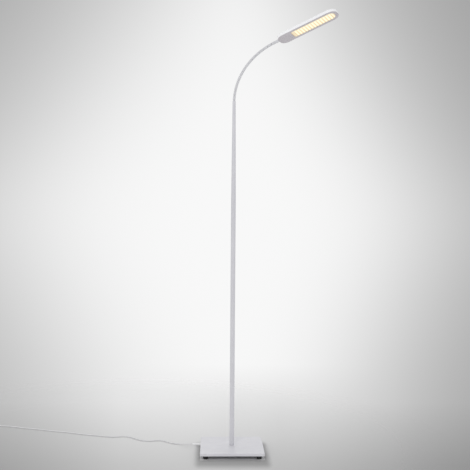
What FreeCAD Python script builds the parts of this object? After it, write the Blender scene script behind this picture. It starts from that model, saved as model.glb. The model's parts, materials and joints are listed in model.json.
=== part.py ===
"""Gooseneck reading floor lamp: square steel base on rubber feet, three-piece pole, jointed flexible neck,
slim LED head with a ribbed lens, and a thin lead with a plug-in supply.

Lengths are in millimetres, angles in degrees, +Z is up. The lamp is drawn with the pole on the Z axis and
the floor at Z = 0. At the end every piece moves together, so that the origin is the bottom centre of the
lamp's box without its lead.
"""
import FreeCAD, Part

import math
import os

V = FreeCAD.Vector
X_AXIS = V(1, 0, 0)
Z_AXIS = V(0, 0, 1)

# ---------------------------------------------------------------- clearances shared by many pieces
thread_gap = 0.05           # all round a screw's shank in its thread
screw_tip_gap = 0.1         # between a screw's tip and the end of its hole
hole_gap = 0.1              # all round a screw's shank where it only passes through
lead_gap = 0.3              # all round the lead in its gland and clips
screw_head_chamfer_share = 0.45
cut_margin = 1.0            # how far a cutting shape reaches past the face it cuts

# ---------------------------------------------------------------- driving dimensions: base
base_side = 200.0
base_thickness = 8.0
base_corner_radius = 9.0
base_edge_round = 1.6
foot_height = 12.0
foot_top_diameter = 17.0
foot_bottom_diameter = 15.0
foot_inset = 17.0
foot_edge_round = 1.2
foot_screw_shank = 3.6
foot_screw_head = 7.0
foot_screw_head_height = 2.2
foot_screw_recess = 4.0
foot_recess_gap = 0.5
foot_screw_bite = 5.5
nut_recess_diameter = 34.0
nut_recess_depth = 4.5

# ---------------------------------------------------------------- driving dimensions: pole
pole_diameter = 15.0
pole_wall = 1.0
pole_section_length = 392.0
upper_pole_length = 309.5
upper_pole_top_diameter = 10.0
bush_length = 16.0
bush_wall_gap = 0.08
stud_diameter = 10.0
stud_bore = 6.4
stud_gap = 0.05
joint_stud_length = 26.0
foot_stud_grip = 13.0
washer_diameter = 26.0
washer_thickness = 1.2
nut_across_flats = 17.0
nut_height = 4.0
collar_plug_length = 18.0
collar_wall_gap = 0.05

# ---------------------------------------------------------------- driving dimensions: neck
neck_start = 8.0            # straight neck below the first joint
neck_end = 24.0             # straight neck between the last joint and the head
link_count = 14
link_pitch = 16.0
bend_radius_start = 157.0
bend_radius_middle = 198.7
bend_radius_end = 272.0
neck_heading = -26.7        # where the neck points, seen from above, measured from +X
neck_radius = 4.4
rib_depth = 0.5
ribs_per_link = 4
ball_radius = 2.9
ball_gap = 0.3
ball_flat_height = 1.8      # the ball's top is turned flat here, above its centre
flat_gap = 0.5
ball_neck_radius = 1.9
cup_rim_below = 1.6
seam_gap = 1.1
collar_length = 9.0
collar_straight_share = 0.45
collar_taper_share = 0.9
stem_lip = 1.2
head_seam = 0.4             # between the neck's last collar and the head's wall

# ---------------------------------------------------------------- driving dimensions: head
head_length = 199.0
head_width = 61.0
head_height = 11.0
head_root_radius = 21.0
head_tip_radius = 25.0
head_top_round = 4.2
head_wall = 1.4
head_roll = 5.0
neck_axis_height = 4.6      # neck axis above the head's underside
panel_thickness = 1.6
panel_gap = 0.2
panel_skirt_height = 2.0
panel_skirt_wall = 1.0
window_start = 46.5
window_tip_margin = 9.5
window_side_margin = 9.5
window_root_radius = 8.0
window_tip_radius = 18.0
window_gap = 0.2
window_chamfer = 0.5
lens_flange = 2.0
lens_flange_thickness = 1.0
lens_recess = 0.3
lens_rib_count = 15
lens_rib_height = 1.1
board_thickness = 1.2
board_margin = 3.0
board_bottom = 6.2
led_length = 3.5
led_width = 2.8
led_height = 0.8
led_rows = 2
led_row_spacing = 10.0
spreader_thickness = 1.5
spreader_margin = 1.0
boss_diameter = 5.0
boss_inset_x = 18.0
boss_inset_y = 15.5
board_screw_shank = 1.9
board_screw_head = 3.8
board_screw_head_height = 1.4
board_screw_bite = 1.4
board_hole_gap = 0.25
control_start = 22.0
control_length = 20.0
control_half_width = 17.0
control_thickness = 1.2
control_bottom = 5.4
control_post_diameter = 3.6
control_post_inset = 3.0
touch_diameter = 15.0
touch_thickness = 0.7
touch_gap = 0.15
touch_chamfer = 0.2
touch_centre = 30.0
spigot_diameter = 5.4
spigot_length = 16.0
spigot_gap = 0.1
clamp_start = 2.2
clamp_length = 13.0
clamp_half_width = 7.0
clamp_bottom = 1.9
clamp_room = 1.0            # between the clamp and the panel's skirt
clamp_screw_diameter = 2.9
clamp_screw_length = 3.0

# ---------------------------------------------------------------- driving dimensions: lead
cord_diameter = 3.8
cord_height = 2.0           # centre of the cord where it lies on the floor
gland_foot_distance = 25.0
gland_height = 7.0          # centre of the lead in its gland
gland_block = (20.0, 15.0)
gland_bottom = 2.6
gland_corner = 2.0
gland_ear_diameter = 9.0
gland_ear_thickness = 2.5
gland_ear_reach = 3.5       # from the gland's side to the ear's centre
gland_screw_bite = 5.0
gland_screw_shank = 2.8
gland_screw_head = 5.0
gland_screw_head_height = 1.6
relief_length = 27.0
relief_start_diameter = 8.4
relief_end_diameter = 5.4
relief_rings = 5
relief_groove = 0.7
relief_end_lip = 0.3
# one ring of the relief: share of the ring's step past its place, and 1 in the groove or 0 on the land
relief_ring_shape = ((-0.25, 1), (0.05, 1), (0.2, 0), (0.55, 0))
inner_lead_height = 4.6
inner_lead_turn = 5.4
inner_lead_bend = 22.0
inner_lead_first_bend = 40.0
inner_lead_corner_share = 0.26
inner_lead_straight = 4.0   # past the gland before the first bend
inner_lead_end_gap = 4.0    # below the collar's plug
clip_length = 9.0
clip_half_width = 5.0
clip_bottom = 1.4
clip_round = 2.5
clip_places = (0.36, 0.76)

coil_height = 2.85          # centre of the coil's lower layer: the tie passes beneath it

# the free cord's route: distance left of the strain relief's end, distance behind it, height of the centre
cord_route = [
    (0.0, 0.0, gland_height),
    (-18.0, 0.0, gland_height),
    (-39.0, 14.0, 3.8),
    (-61.0, 24.0, cord_height),
    (-81.0, 39.0, cord_height),
    (-101.0, 60.0, cord_height),
    (-120.0, 64.0, cord_height),
    (-143.0, 54.0, cord_height),
    (-175.0, 63.0, cord_height),
    (-207.0, 99.0, cord_height),
    (-229.0, 114.0, cord_height),
    (-251.0, 114.0, cord_height),
    (-269.0, 105.0, cord_height),
    (-295.0, 112.0, cord_height),
    (-325.0, 124.0, cord_height),
    (-359.0, 134.0, cord_height),
    (-399.0, 150.0, cord_height),
    (-450.0, 174.0, cord_height),
    (-502.0, 188.0, cord_height),
    (-552.0, 212.0, cord_height),
    (-602.0, 226.0, cord_height),
    (-648.0, 248.0, cord_height),
    (-689.0, 258.0, cord_height),
    (-719.0, 262.0, coil_height),
    (-739.0, 262.0, coil_height),
]

coil_turns_per_layer = 3.25
coil_climb_turns = 0.5
coil_start_angle = 90.0
coil_inner_radius = 15.5
coil_pitch = 4.4
coil_layer_step = 4.3
coil_climb_dip = 0.9
coil_steps_per_turn = 4
coil_last_turn = 0.25

tie_angle = 315.0
tie_width = 7.0
tie_thickness = 0.6
tie_gap = 0.3
tie_corner = 1.0

supply_length = 66.0
supply_width = 40.0
supply_height = 22.0
supply_wall = 2.0
supply_corner = 7.0
supply_edge_round = 2.0
supply_seam = 0.4
supply_split = 12.0
supply_relief_length = 30.0
supply_relief_start = 5.2
supply_relief_end = 8.4
pin_diameter = 4.0
pin_length = 19.0
pin_spacing = 19.0
pin_rise = 5.5              # above the split
pin_tip_round = 1.2

# ---------------------------------------------------------------- heights that follow
plate_bottom = foot_height
plate_top = foot_height + base_thickness
recess_roof = plate_bottom + nut_recess_depth
joint_1_height = plate_top + pole_section_length
joint_2_height = joint_1_height + pole_section_length
pole_top = joint_2_height + upper_pole_length
neck_base = pole_top + collar_length - neck_start + cup_rim_below + seam_gap
lens_bottom = lens_recess
lens_top = panel_thickness + lens_flange_thickness
shell_ceiling = head_height - head_wall

window_end = head_length - window_tip_margin
window_half_width = head_width / 2 - window_side_margin
gland_y = base_side / 2 - foot_inset - gland_foot_distance
cord_start = V(-base_side / 2 - relief_length, gland_y, 0)

nodes = {}
cord_names = []


# ---------------------------------------------------------------- helpers
def cylinder(diameter, length, base, direction=Z_AXIS):
    return Part.makeCylinder(diameter / 2, length, base, direction)


def ring(outer, inner, length, base, direction=Z_AXIS):
    return cylinder(outer, length, base, direction).cut(cylinder(inner, length, base, direction))


def revolve(profile):
    """Solid of revolution about Z from (radius, height) points, closed along the axis."""
    points = [V(r, 0, z) for r, z in profile]
    face = Part.Face(Part.makePolygon(points + [points[0]]))
    return face.revolve(V(0, 0, 0), Z_AXIS, 360)


def rounded_outline(x0, x1, half_width, root_radius, tip_radius, z):
    """Closed wire of a rectangle along X with its own corner radius at each end."""
    k = 1 - math.sqrt(0.5)
    r, t, w = root_radius, tip_radius, half_width
    ends = [
        (V(x0 + r, -w, z), V(x1 - t, -w, z)),
        (V(x1, -w + t, z), V(x1, w - t, z)),
        (V(x1 - t, w, z), V(x0 + r, w, z)),
        (V(x0, w - r, z), V(x0, -w + r, z)),
    ]
    middles = [
        V(x1 - t * k, -w + t * k, z),
        V(x1 - t * k, w - t * k, z),
        V(x0 + r * k, w - r * k, z),
        V(x0 + r * k, -w + r * k, z),
    ]
    edges = []
    for i, (start, end) in enumerate(ends):
        edges.append(Part.LineSegment(start, end).toShape())
        edges.append(Part.Arc(end, middles[i], ends[(i + 1) % 4][0]).toShape())
    return Part.Wire(edges)


def rounded_slab(x0, x1, half_width, root_radius, tip_radius, z0, z1):
    face = Part.Face(rounded_outline(x0, x1, half_width, root_radius, tip_radius, z0))
    return face.extrude(V(0, 0, z1 - z0))


def edges_at(shape, z):
    return [e for e in shape.Edges if abs(e.BoundBox.ZMin - z) < 1e-6 and abs(e.BoundBox.ZMax - z) < 1e-6]


def hexagon(across_flats, height, z):
    radius = across_flats / math.sqrt(3)
    corners = [
        V(radius * math.cos(math.radians(60 * i)), radius * math.sin(math.radians(60 * i)), z)
        for i in range(7)
    ]
    return Part.Face(Part.makePolygon(corners)).extrude(V(0, 0, height))


def screw(shank, length, head, head_height, seat, direction):
    """Pan-head screw: the head sits on the seat, the shank runs along direction."""
    up = V(direction).normalize()
    top = seat - up * head_height
    body = cylinder(head, head_height, top, up)
    rim = [e for e in body.Edges if abs((e.CenterOfMass - top).dot(up)) < 1e-6]
    body = body.makeChamfer(head_height * screw_head_chamfer_share, rim)
    return body.fuse(cylinder(shank, length, seat, up)).removeSplitter()


def rounded_path(points, radii=None):
    """Straight runs joined by tangent arcs. Returns the wire, its length and its radii."""
    run_share = 0.45            # of the shorter run, taken by each arc
    pts = [V(*p) for p in points]
    edges, used, length = [], [], 0.0
    start = pts[0]
    for i in range(1, len(pts) - 1):
        into, out = pts[i] - pts[i - 1], pts[i + 1] - pts[i]
        turn = into.getAngle(out)
        if radii:
            radius = radii[i - 1]
        else:
            radius = run_share * min(into.Length, out.Length) / math.tan(turn / 2)
        into.normalize()
        out.normalize()
        reach = radius * math.tan(turn / 2)
        a, b = pts[i] - into * reach, pts[i] + out * reach
        inward = (out - into).normalize()
        centre_distance = radius / math.cos(turn / 2)
        middle = pts[i] + inward * (centre_distance - radius)
        edges.append(Part.LineSegment(start, a).toShape())
        edges.append(Part.Arc(a, middle, b).toShape())
        length += (a - start).Length + radius * turn
        used.append(radius)
        start = b
    edges.append(Part.LineSegment(start, pts[-1]).toShape())
    length += (pts[-1] - start).Length
    return Part.Wire(edges), length, used


def sweep_round(wire, start, direction, diameter):
    circle = Part.Wire(Part.makeCircle(diameter / 2, start, direction))
    return wire.makePipeShell([circle], True, False)


# ---------------------------------------------------------------- base
def base_plate():
    half = base_side / 2
    plate = rounded_slab(-half, half, half, base_corner_radius, base_corner_radius, plate_bottom, plate_top)
    plate = plate.makeFillet(base_edge_round, edges_at(plate, plate_top))
    plate = plate.cut(cylinder(nut_recess_diameter, nut_recess_depth, V(0, 0, plate_bottom)))
    plate = plate.cut(cylinder(stud_diameter + 2 * stud_gap, base_thickness, V(0, 0, plate_bottom)))
    foot_hole = foot_screw_shank + 2 * thread_gap
    for x, y in foot_places():
        plate = plate.cut(cylinder(foot_hole, foot_screw_bite, V(x, y, plate_bottom)))
    gland_hole = gland_screw_shank + 2 * thread_gap
    return plate.cut(cylinder(gland_hole, gland_screw_bite, gland_screw_place(plate_bottom)))


def foot_places():
    reach = base_side / 2 - foot_inset
    return [(-reach, -reach), (reach, -reach), (-reach, reach), (reach, reach)]


def rubber_foot(x, y):
    taper = Part.makeCone(foot_bottom_diameter / 2, foot_top_diameter / 2, foot_height, V(x, y, 0), Z_AXIS)
    taper = taper.makeFillet(foot_edge_round, edges_at(taper, 0))
    taper = taper.cut(cylinder(foot_screw_head + 2 * foot_recess_gap, foot_screw_recess, V(x, y, 0)))
    return taper.cut(cylinder(foot_screw_shank + 2 * hole_gap, foot_height, V(x, y, 0)))


def foot_screws():
    length = foot_height - foot_screw_recess + foot_screw_bite - screw_tip_gap
    seats = [V(x, y, foot_screw_recess) for x, y in foot_places()]
    return [
        screw(foot_screw_shank, length, foot_screw_head, foot_screw_head_height, seat, Z_AXIS)
        for seat in seats
    ]


def make_base():
    nodes["base_plate"] = base_plate()
    for name, (x, y) in zip(("front_left", "front_right", "rear_left", "rear_right"), foot_places()):
        nodes["foot_" + name] = rubber_foot(x, y)
    nodes["foot_screws"] = foot_screws()
    washer_bottom = recess_roof - washer_thickness
    nut_bottom = washer_bottom - nut_height
    hole = stud_diameter + 2 * stud_gap
    nodes["base_washer"] = ring(washer_diameter, hole, washer_thickness, V(0, 0, washer_bottom))
    nut = hexagon(nut_across_flats, nut_height, nut_bottom)
    nodes["base_nut"] = nut.cut(cylinder(hole, nut_height, V(0, 0, nut_bottom)))
    stud_length = plate_top + foot_stud_grip - nut_bottom
    nodes["foot_stud"] = ring(stud_diameter, stud_bore, stud_length, V(0, 0, nut_bottom))


# ---------------------------------------------------------------- pole
def pole_tube(z, length):
    return ring(pole_diameter, pole_diameter - 2 * pole_wall, length, V(0, 0, z))


def upper_pole_tube():
    r0, r1 = pole_diameter / 2, upper_pole_top_diameter / 2
    outer = Part.makeCone(r0, r1, upper_pole_length, V(0, 0, joint_2_height), Z_AXIS)
    inner = Part.makeCone(r0 - pole_wall, r1 - pole_wall, upper_pole_length, V(0, 0, joint_2_height), Z_AXIS)
    return outer.cut(inner)


def threaded_bush(z, outer_low, outer_high):
    """Bush pressed into a tube's end, bored for a stud. Its outside follows the tube's bore."""
    low, high = outer_low / 2 - bush_wall_gap, outer_high / 2 - bush_wall_gap
    if abs(low - high) < 1e-9:
        body = cylinder(2 * low, bush_length, V(0, 0, z))
    else:
        body = Part.makeCone(low, high, bush_length, V(0, 0, z), Z_AXIS)
    return body.cut(cylinder(stud_diameter + 2 * stud_gap, bush_length, V(0, 0, z)))


def make_pole():
    bore = pole_diameter - 2 * pole_wall
    nodes["pole_lower"] = pole_tube(plate_top, pole_section_length)
    nodes["pole_middle"] = pole_tube(joint_1_height, pole_section_length)
    nodes["pole_upper"] = upper_pole_tube()
    taper = (pole_diameter - upper_pole_top_diameter) / upper_pole_length * bush_length
    nodes["foot_bush"] = threaded_bush(plate_top, bore, bore)
    nodes["joint_bush_1_lower"] = threaded_bush(joint_1_height - bush_length, bore, bore)
    nodes["joint_bush_1_upper"] = threaded_bush(joint_1_height, bore, bore)
    nodes["joint_bush_2_lower"] = threaded_bush(joint_2_height - bush_length, bore, bore)
    nodes["joint_bush_2_upper"] = threaded_bush(joint_2_height, bore, bore - taper)
    for i, z in enumerate((joint_1_height, joint_2_height), start=1):
        nodes["joint_stud_%d" % i] = ring(
            stud_diameter, stud_bore, joint_stud_length, V(0, 0, z - joint_stud_length / 2)
        )


# ---------------------------------------------------------------- neck
def bend_curvature(distance):
    """Curvature of the neck's rest shape in radians per mm, a parabola through three radii."""
    u = distance / neck_length()
    start, middle, end = 1 / bend_radius_start, 1 / bend_radius_middle, 1 / bend_radius_end
    return start * (1 - u) * (1 - 2 * u) + 4 * middle * u * (1 - u) + end * u * (2 * u - 1)


def neck_length():
    return neck_start + link_count * link_pitch + neck_end


def neck_stations():
    """Joint centres and the tilt from vertical after each: (reach, height, angle) in the neck's plane."""
    reach, height, angle = 0.0, neck_base + neck_start, 0.0
    stations = []
    for i in range(link_count + 1):
        angle += bend_curvature(neck_start + i * link_pitch) * link_pitch
        stations.append((reach, height, angle))
        reach += link_pitch * math.sin(angle)
        height += link_pitch * math.cos(angle)
    return stations


def place_along_neck(shape, reach, height, angle):
    """Stand a piece drawn along +Z at a place in the neck's plane, tilted by angle."""
    turn = FreeCAD.Rotation(Z_AXIS, neck_heading).multiply(
        FreeCAD.Rotation(V(0, 1, 0), math.degrees(angle))
    )
    heading = math.radians(neck_heading)
    place = V(reach * math.cos(heading), reach * math.sin(heading), height)
    moved = shape.copy()
    moved.Placement = FreeCAD.Placement(place, turn)
    return moved


def ribbed_profile(start, end):
    """Outline points of the ribbed sleeve from start to end along the axis: crests and valleys by turns."""
    count = ribs_per_link
    step = (end - start) / count
    points = []
    for i in range(count):
        foot = start + i * step
        points.append((neck_radius - rib_depth, foot))
        points.append((neck_radius, foot + step / 2))
    points.append((neck_radius - rib_depth, end))
    return points


def flat_ball(radius, flat, height):
    """Ball centred at a height on the axis, cut flat above."""
    top = math.degrees(math.asin(flat / radius))
    return Part.makeSphere(radius, V(0, 0, height), Z_AXIS, -90, top, 360)


def ball_end(shoulder):
    """Ball on a short neck above the shoulder. The ball's centre is one joint gap above it."""
    centre = shoulder + cup_rim_below + seam_gap
    stalk = cylinder(2 * ball_neck_radius, centre - shoulder, V(0, 0, shoulder))
    return stalk.fuse(flat_ball(ball_radius, ball_flat_height, centre))


def cup_hollow():
    """What is cut from a link's lower end: the ball's seat, centred on the joint."""
    return flat_ball(ball_radius + ball_gap, ball_flat_height + flat_gap, 0)


def neck_link():
    """One link drawn along +Z, its lower joint at the origin: a ribbed sleeve, a cup below, a ball above."""
    top = link_pitch - cup_rim_below - seam_gap
    profile = [(0, -cup_rim_below)] + ribbed_profile(-cup_rim_below, top) + [(0, top)]
    sleeve = revolve(profile)
    return sleeve.cut(cup_hollow()).fuse(ball_end(top)).removeSplitter()


def neck_collar():
    """Turned collar that plugs the pole's top and carries the first ball."""
    bore_radius = upper_pole_top_diameter / 2 - pole_wall - collar_wall_gap
    shoulder_radius = neck_radius - rib_depth
    outer = upper_pole_top_diameter / 2
    profile = [
        (0, -collar_plug_length),
        (bore_radius, -collar_plug_length),
        (bore_radius, 0),
        (outer, 0),
        (outer, collar_length * collar_straight_share),
        (neck_radius, collar_length * collar_taper_share),
        (shoulder_radius, collar_length),
        (0, collar_length),
    ]
    return revolve(profile).fuse(ball_end(collar_length)).removeSplitter()


def neck_end_stem():
    """Last piece of the neck: a cup below, a plain collar, and the spigot that goes into the head."""
    shoulder = neck_end - head_seam
    profile = [
        (0, -cup_rim_below),
        (neck_radius - rib_depth, -cup_rim_below),
        (neck_radius, -cup_rim_below + stem_lip),
        (neck_radius, shoulder),
        (spigot_diameter / 2, shoulder),
        (spigot_diameter / 2, neck_end + spigot_length),
        (0, neck_end + spigot_length),
    ]
    return revolve(profile).cut(cup_hollow())


def make_neck():
    collar = neck_collar()
    collar.translate(V(0, 0, pole_top))
    nodes["neck_collar"] = collar
    link = neck_link()
    stations = neck_stations()
    for i in range(link_count):
        nodes["neck_link_%02d" % (i + 1)] = place_along_neck(link, *stations[i])
    nodes["neck_end_stem"] = place_along_neck(neck_end_stem(), *stations[-1])


# ---------------------------------------------------------------- head: drawn along +X, underside at Z = 0
def head_outline_slab(inset, z0, z1):
    half_width = head_width / 2 - inset
    root_radius = head_root_radius - inset
    tip_radius = head_tip_radius - inset
    return rounded_slab(inset, head_length - inset, half_width, root_radius, tip_radius, z0, z1)


def window_slab(grow, z0, z1):
    """Slab with the window's outline, larger all round by grow, or smaller where grow is negative."""
    root_radius = window_root_radius + grow
    tip_radius = window_tip_radius + grow
    half_width = window_half_width + grow
    return rounded_slab(window_start - grow, window_end + grow, half_width, root_radius, tip_radius, z0, z1)


def boss_places():
    return [
        (x, y)
        for x in (window_start + boss_inset_x, window_end - boss_inset_x)
        for y in (-boss_inset_y, boss_inset_y)
    ]


def spreader_bottom():
    return board_bottom + board_thickness


def spreader_top():
    return spreader_bottom() + spreader_thickness


def head_top_shell():
    shell = head_outline_slab(0, 0, head_height)
    shell = shell.makeFillet(head_top_round, edges_at(shell, head_height))
    shell = shell.cut(head_outline_slab(head_wall, 0, shell_ceiling - head_wall))
    shell = shell.cut(head_outline_slab(2 * head_wall, 0, shell_ceiling))
    screw_hole = board_screw_shank + 2 * thread_gap
    for x, y in boss_places():
        boss = cylinder(boss_diameter, shell_ceiling - spreader_top(), V(x, y, spreader_top()))
        shell = shell.fuse(boss).cut(cylinder(screw_hole, board_screw_bite, V(x, y, spreader_top())))
    post_base = control_bottom + control_thickness
    post_x = control_start + control_length / 2
    post_reach = control_half_width - control_post_inset
    for y in (-post_reach, post_reach):
        post = cylinder(control_post_diameter, shell_ceiling - post_base, V(post_x, y, post_base))
        shell = shell.fuse(post)
    spigot_hole = spigot_diameter + 2 * spigot_gap
    hole_start = V(-cut_margin, 0, neck_axis_height)
    shell = shell.cut(cylinder(spigot_hole, head_wall + 2 * cut_margin, hole_start, X_AXIS))
    pocket_floor = V(touch_centre, 0, head_height - touch_thickness)
    pocket = cylinder(touch_diameter + 2 * touch_gap, touch_thickness, pocket_floor)
    return shell.cut(pocket).removeSplitter()


def head_under_panel():
    inset = head_wall + panel_gap
    panel = head_outline_slab(inset, 0, panel_thickness)
    skirt_inset = inset + head_wall
    skirt_top = panel_thickness + panel_skirt_height
    skirt = head_outline_slab(skirt_inset, panel_thickness, skirt_top)
    skirt = skirt.cut(head_outline_slab(skirt_inset + panel_skirt_wall, panel_thickness, skirt_top))
    room = clamp_half_width + clamp_room
    opening_corner = V(0, -room, panel_thickness)
    neck_opening = Part.makeBox(clamp_start + clamp_length, 2 * room, head_height, opening_corner)
    panel = panel.fuse(skirt.cut(neck_opening))
    panel = panel.cut(window_slab(0, 0, panel_thickness))
    reach = window_half_width + cut_margin
    rim = [
        e for e in edges_at(panel, 0)
        if window_start - cut_margin < e.BoundBox.XMin
        and e.BoundBox.XMax < window_end + cut_margin
        and max(abs(e.BoundBox.YMin), abs(e.BoundBox.YMax)) < reach
    ]
    return panel.makeChamfer(window_chamfer, rim).removeSplitter()


def led_lens():
    """Ribbed cover: half-round ribs run across the head, above them a flat flange rests on the panel."""
    x0, x1 = window_start + window_gap, window_end - window_gap
    step = (x1 - x0) / lens_rib_count
    crest = lens_bottom
    valley = crest + lens_rib_height
    top = panel_thickness
    edges = []
    for i in range(lens_rib_count):
        a = V(x0 + i * step, 0, valley)
        m = V(x0 + (i + 0.5) * step, 0, crest)
        b = V(x0 + (i + 1) * step, 0, valley)
        edges.append(Part.Arc(a, m, b).toShape())
    edges.append(Part.LineSegment(V(x1, 0, valley), V(x1, 0, top)).toShape())
    edges.append(Part.LineSegment(V(x1, 0, top), V(x0, 0, top)).toShape())
    edges.append(Part.LineSegment(V(x0, 0, top), V(x0, 0, valley)).toShape())
    half = window_half_width - window_gap
    ribs = Part.Face(Part.Wire(edges)).extrude(V(0, 2 * half, 0))
    ribs.translate(V(0, -half, 0))
    ribs = ribs.common(window_slab(-window_gap, crest - cut_margin, top))
    return ribs.fuse(window_slab(lens_flange, top, lens_top)).removeSplitter()


def light_board():
    board = window_slab(-board_margin, board_bottom, spreader_bottom())
    hole = board_screw_shank + 2 * board_hole_gap
    for x, y in boss_places():
        board = board.cut(cylinder(hole, board_thickness, V(x, y, board_bottom)))
    return board


def light_diodes():
    x0, x1 = window_start + window_gap, window_end - window_gap
    step = (x1 - x0) / lens_rib_count
    chips = []
    for i in range(lens_rib_count):
        for j in range(led_rows):
            x = x0 + (i + 0.5) * step
            y = (j - (led_rows - 1) / 2) * led_row_spacing
            chips.append(
                Part.makeBox(
                    led_width, led_length, led_height,
                    V(x - led_width / 2, y - led_length / 2, board_bottom - led_height),
                )
            )
    return chips


def heat_spreader():
    plate = window_slab(-spreader_margin, spreader_bottom(), spreader_top())
    hole = board_screw_shank + 2 * board_hole_gap
    for x, y in boss_places():
        plate = plate.cut(cylinder(hole, spreader_thickness, V(x, y, spreader_bottom())))
    return plate


def board_screws():
    length = spreader_top() - board_bottom + board_screw_bite - screw_tip_gap
    seats = [V(x, y, board_bottom) for x, y in boss_places()]
    return [
        screw(board_screw_shank, length, board_screw_head, board_screw_head_height, seat, Z_AXIS)
        for seat in seats
    ]


def control_board():
    return Part.makeBox(
        control_length, 2 * control_half_width, control_thickness,
        V(control_start, -control_half_width, control_bottom),
    )


def touch_disc():
    disc = cylinder(touch_diameter, touch_thickness, V(touch_centre, 0, head_height - touch_thickness))
    return disc.makeChamfer(touch_chamfer, edges_at(disc, head_height))


def neck_clamp():
    """Saddle on the shell's ceiling that holds the spigot; it is open below."""
    start = clamp_start + head_wall
    corner = V(start, -clamp_half_width, clamp_bottom)
    block = Part.makeBox(clamp_length, 2 * clamp_half_width, shell_ceiling - clamp_bottom, corner)
    hole = spigot_diameter + 2 * spigot_gap
    bore = cylinder(hole, clamp_length, V(start, 0, neck_axis_height), X_AXIS)
    slot_corner = V(start, -hole / 2, clamp_bottom)
    slot = Part.makeBox(clamp_length, hole, neck_axis_height - clamp_bottom, slot_corner)
    return block.cut(bore).cut(slot).cut(clamp_screw_hole())


def clamp_screw_place():
    return V(clamp_start + head_wall + clamp_length / 2, clamp_half_width, neck_axis_height)


def clamp_screw_hole():
    return cylinder(clamp_screw_diameter + 2 * thread_gap, clamp_half_width, clamp_screw_place(), V(0, -1, 0))


def clamp_screw():
    """Grub screw that bears on the spigot from the side."""
    bearing = V(clamp_screw_place().x, spigot_diameter / 2, neck_axis_height)
    return cylinder(clamp_screw_diameter, clamp_screw_length, bearing, V(0, 1, 0))


def place_on_neck_end(shape):
    """Carry a head piece from its own drawing to the end of the neck."""
    reach, height, angle = neck_stations()[-1]
    reach += neck_end * math.sin(angle)
    height += neck_end * math.cos(angle)
    heading = math.radians(neck_heading)
    turn = FreeCAD.Rotation(Z_AXIS, neck_heading)
    turn = turn.multiply(FreeCAD.Rotation(V(0, 1, 0), math.degrees(angle) - 90))
    turn = turn.multiply(FreeCAD.Rotation(V(1, 0, 0), -head_roll))
    root = V(reach * math.cos(heading), reach * math.sin(heading), height)
    drop = turn.multVec(V(0, 0, -neck_axis_height))
    moved = shape.copy()
    moved.Placement = FreeCAD.Placement(root + drop, turn)
    return moved


def make_head():
    drawn = {
        "head_top_shell": head_top_shell(),
        "head_under_panel": head_under_panel(),
        "led_lens": led_lens(),
        "led_board": light_board(),
        "leds": light_diodes(),
        "heat_spreader": heat_spreader(),
        "board_screws": board_screws(),
        "control_board": control_board(),
        "touch_disc": touch_disc(),
        "neck_clamp": neck_clamp(),
        "clamp_screw": clamp_screw(),
    }
    for name, shape in drawn.items():
        if isinstance(shape, list):
            nodes[name] = [place_on_neck_end(s) for s in shape]
        else:
            nodes[name] = place_on_neck_end(shape)


# ---------------------------------------------------------------- lead
def gland_screw_place(z):
    length, width = gland_block
    return V(-base_side / 2 + length / 2, gland_y + width / 2 + gland_ear_reach, z)


def lead_gland():
    """Moulded clamp under the plate's left rim with an ear for its screw."""
    length, width = gland_block
    x0 = -base_side / 2
    height = plate_bottom - gland_bottom
    body = Part.makeBox(length, width, height, V(x0, gland_y - width / 2, gland_bottom))
    upright = [e for e in body.Edges if e.BoundBox.ZLength > height / 2]
    body = body.makeFillet(gland_corner, [e for e in upright if e.BoundBox.XMin > x0 + length / 2])
    ear_centre = gland_screw_place(plate_bottom - gland_ear_thickness)
    body = body.fuse(cylinder(gland_ear_diameter, gland_ear_thickness, ear_centre))
    body = body.cut(cylinder(gland_screw_shank + 2 * hole_gap, gland_ear_thickness, ear_centre))
    bore = cylinder(cord_diameter + 2 * lead_gap, length, V(x0, gland_y, gland_height), X_AXIS)
    return body.cut(bore).removeSplitter()


def strain_relief():
    """Tapered sleeve from the gland to the free cord, with grip rings."""
    r0, r1 = relief_start_diameter / 2, relief_end_diameter / 2
    step = relief_length / (relief_rings + 1)
    profile = [(0, 0), (r0, 0), (r0, relief_ring_shape[-1][0] * step)]
    for i in range(1, relief_rings + 1):
        land = r0 + (r1 - r0) * i / (relief_rings + 1)
        for past, in_groove in relief_ring_shape:
            profile.append((land - relief_groove * in_groove, (i + past) * step))
    profile.append((r1 - relief_end_lip, relief_length))
    profile.append((0, relief_length))
    sleeve = revolve(profile)
    outward = FreeCAD.Rotation(Z_AXIS, X_AXIS * -1)
    sleeve.Placement = FreeCAD.Placement(V(-base_side / 2, gland_y, gland_height), outward)
    return sleeve


def gland_screw():
    length = gland_ear_thickness + gland_screw_bite - screw_tip_gap
    seat = gland_screw_place(plate_bottom - gland_ear_thickness)
    return screw(gland_screw_shank, length, gland_screw_head, gland_screw_head_height, seat, Z_AXIS)


def inner_lead_corner():
    return V(-inner_lead_corner_share * base_side, gland_y, inner_lead_height)


def inner_lead():
    """Lead held inside the lamp: from the gland along the plate's underside and up through the pole."""
    corner = inner_lead_corner()
    rim = -base_side / 2
    points = [
        (rim, gland_y, gland_height),
        (rim + gland_block[0] + inner_lead_straight, gland_y, gland_height),
        (corner.x, corner.y, corner.z),
        (0, 0, inner_lead_height),
        (0, 0, pole_top - collar_plug_length - inner_lead_end_gap),
    ]
    radii = [inner_lead_first_bend, inner_lead_bend, inner_lead_turn]
    wire, length, used = rounded_path(points, radii)
    print("inner lead: length %.0f, radii %s" % (length, ["%.1f" % r for r in used]))
    return sweep_round(wire, V(*points[0]), X_AXIS, cord_diameter)


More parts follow.
